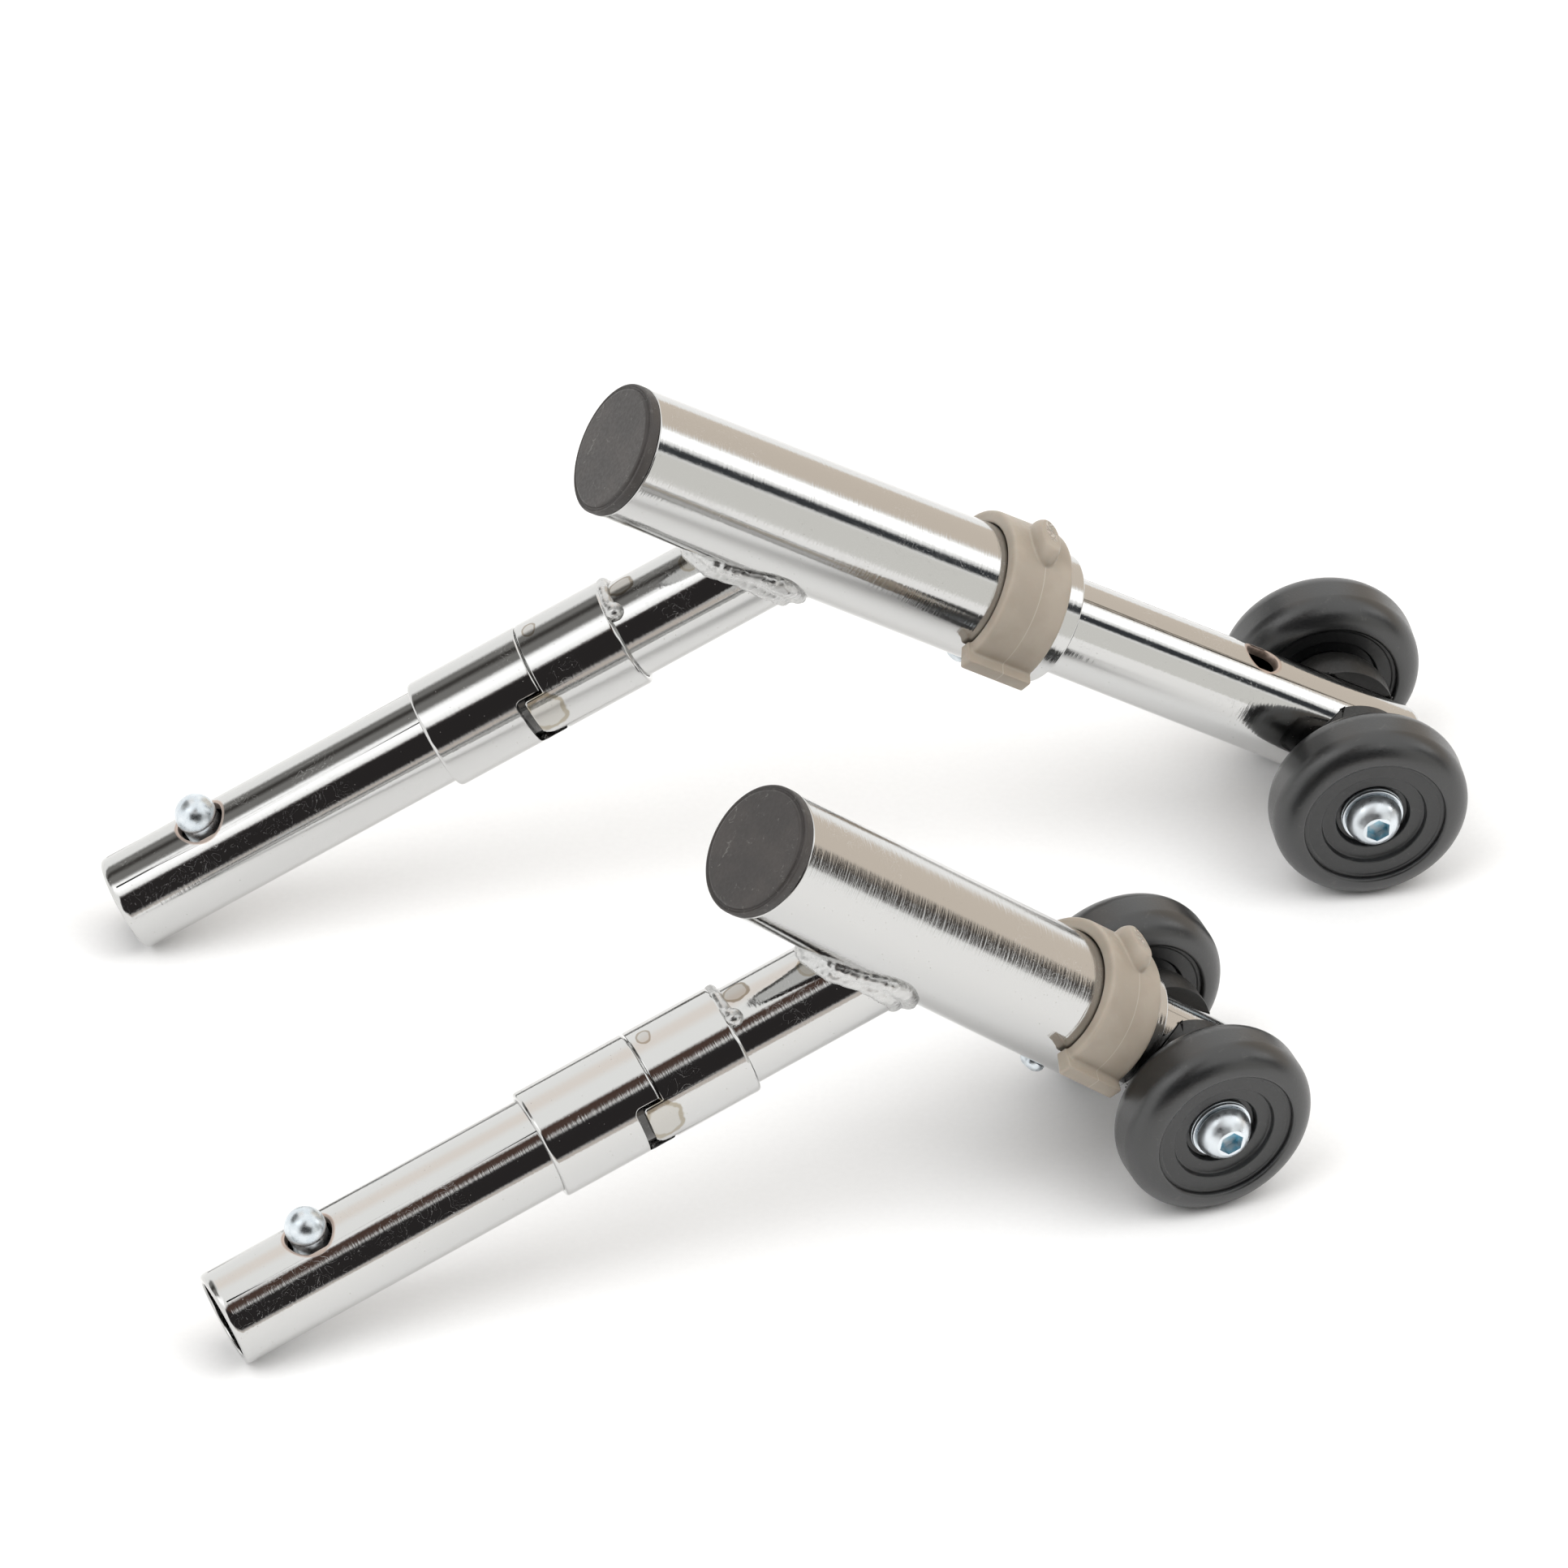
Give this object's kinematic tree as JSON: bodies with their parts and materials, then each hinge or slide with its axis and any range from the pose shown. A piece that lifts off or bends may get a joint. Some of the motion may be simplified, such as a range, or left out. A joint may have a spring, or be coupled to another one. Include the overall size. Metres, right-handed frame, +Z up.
{
  "type": "wheelchair anti-tipper",
  "caption": "Pair of rear anti-tippers for a wheelchair: plug-in spigots with snap buttons, pull-and-turn joints, clipped sliding legs and small twin wheels.",
  "frame": {"origin": "centre of the bounding box at floor level; the pair stands on its wheels and the free ends of its spigots", "axes": "+Z up; +X from the spigots' free ends towards the wheels; +Y to the back, from the unit with the short leg to the unit with the long leg"},
  "size_m": [0.3006, 0.2548, 0.1362],
  "materials": {
    "chrome_steel": "bright chrome plate on drawn steel tube, fine wiping scratches",
    "chrome_weld": "chrome plate over a hand-laid weld bead, lumpy with small pits",
    "zinc_steel": "blue-white zinc plate, satin",
    "spring_steel": "oiled spring steel",
    "plain_steel": "turned steel",
    "grey_plastic": "moulded polyethylene, scuffed",
    "beige_nylon": "moulded nylon, semi-matt, parting line and sprue mark",
    "black_nylon": "moulded black nylon, satin",
    "black_hub": "moulded black nylon, satin, turned rings",
    "black_tyre": "moulded black polyurethane, satin"
  },
  "bodies": {
    "root": {"A_spigot_tube": "chrome_steel", "A_fixed_sleeve": "chrome_steel", "A_button_spring": "spring_steel", "A_stop_ring": "plain_steel", "A_return_spring": "spring_steel", "B_spigot_tube": "chrome_steel", "B_fixed_sleeve": "chrome_steel", "B_button_spring": "spring_steel", "B_stop_ring": "plain_steel", "B_return_spring": "spring_steel"},
    "A_button": {"A_snap_button": "zinc_steel"},
    "A_arm": {"A_swivel_rod": "plain_steel", "A_rod_nut": "plain_steel", "A_indexed_sleeve": "chrome_steel", "A_stub_tube": "chrome_steel", "A_sleeve_weld": "chrome_weld", "A_saddle_weld": "chrome_weld", "A_outer_tube": "chrome_steel", "A_end_cap": "grey_plastic", "A_guide_bush": "black_nylon", "A_bush_rivet": "zinc_steel", "A_height_clip": "beige_nylon"},
    "A_leg": {"A_leg_tube": "chrome_steel", "A_axle_barrel": "plain_steel", "A_spacer_near": "black_nylon", "A_spacer_far": "black_nylon", "A_washer_near": "zinc_steel", "A_washer_far": "zinc_steel", "A_screw_near": "zinc_steel", "A_screw_far": "zinc_steel"},
    "A_wheel_near": {"A_wheel_hub_near": "black_hub", "A_tyre_near": "black_tyre"},
    "A_wheel_far": {"A_wheel_hub_far": "black_hub", "A_tyre_far": "black_tyre"},
    "B_button": {"B_snap_button": "zinc_steel"},
    "B_arm": {"B_swivel_rod": "plain_steel", "B_rod_nut": "plain_steel", "B_indexed_sleeve": "chrome_steel", "B_stub_tube": "chrome_steel", "B_sleeve_weld": "chrome_weld", "B_saddle_weld": "chrome_weld", "B_outer_tube": "chrome_steel", "B_end_cap": "grey_plastic", "B_guide_bush": "black_nylon", "B_bush_rivet": "zinc_steel", "B_height_clip": "beige_nylon"},
    "B_leg": {"B_leg_tube": "chrome_steel", "B_axle_barrel": "plain_steel", "B_spacer_near": "black_nylon", "B_spacer_far": "black_nylon", "B_washer_near": "zinc_steel", "B_washer_far": "zinc_steel", "B_screw_near": "zinc_steel", "B_screw_far": "zinc_steel"},
    "B_wheel_near": {"B_wheel_hub_near": "black_hub", "B_tyre_near": "black_tyre"},
    "B_wheel_far": {"B_wheel_hub_far": "black_hub", "B_tyre_far": "black_tyre"}
  },
  "joints": [
    {"name": "A_button_press", "type": "slide", "parent": "root", "child": "A_button", "axis": [0.4796, 0.1182, -0.8695], "range_m": [0, 0.0063], "stiffness_N_per_m": 900, "springref_m": -0.004, "deforming": ["A_button_spring"]},
    {"name": "A_pull", "type": "slide", "parent": "root", "child": "A_arm", "axis": [0.8442, 0.2081, 0.4939], "range_m": [0, 0.01], "stiffness_N_per_m": 1200, "springref_m": -0.012, "deforming": ["A_return_spring"]},
    {"name": "A_height", "type": "slide", "parent": "A_arm", "child": "A_leg", "axis": [0.8331, 0.2054, -0.5136], "range_m": [-0.065, 0]},
    {"name": "A_wheel_near", "type": "hinge", "parent": "A_leg", "child": "A_wheel_near", "pos_m": [0.12825, 0.06825, 0.0221], "axis": [0.2394, -0.9709, 0], "continuous": true},
    {"name": "A_wheel_far", "type": "hinge", "parent": "A_leg", "child": "A_wheel_far", "pos_m": [0.11652, 0.11583, 0.0221], "axis": [0.2394, -0.9709, 0], "continuous": true},
    {"name": "B_button_press", "type": "slide", "parent": "root", "child": "B_button", "axis": [0.3213, 0.1505, -0.9349], "range_m": [0, 0.0063], "stiffness_N_per_m": 900, "springref_m": -0.004, "deforming": ["B_button_spring"]},
    {"name": "B_pull", "type": "slide", "parent": "root", "child": "B_arm", "axis": [0.8467, 0.3966, 0.3548], "range_m": [0, 0.01], "stiffness_N_per_m": 1200, "springref_m": -0.012, "deforming": ["B_return_spring"]},
    {"name": "B_height", "type": "slide", "parent": "B_arm", "child": "B_leg", "axis": [0.6965, 0.3263, -0.639], "range_m": [0, 0.065]},
    {"name": "B_wheel_near", "type": "hinge", "parent": "B_leg", "child": "B_wheel_near", "pos_m": [0.09636, -0.04499, 0.0221], "axis": [0.4242, -0.9056, 0], "continuous": true},
    {"name": "B_wheel_far", "type": "hinge", "parent": "B_leg", "child": "B_wheel_far", "pos_m": [0.07557, -0.00062, 0.0221], "axis": [0.4242, -0.9056, 0], "continuous": true}
  ]
}
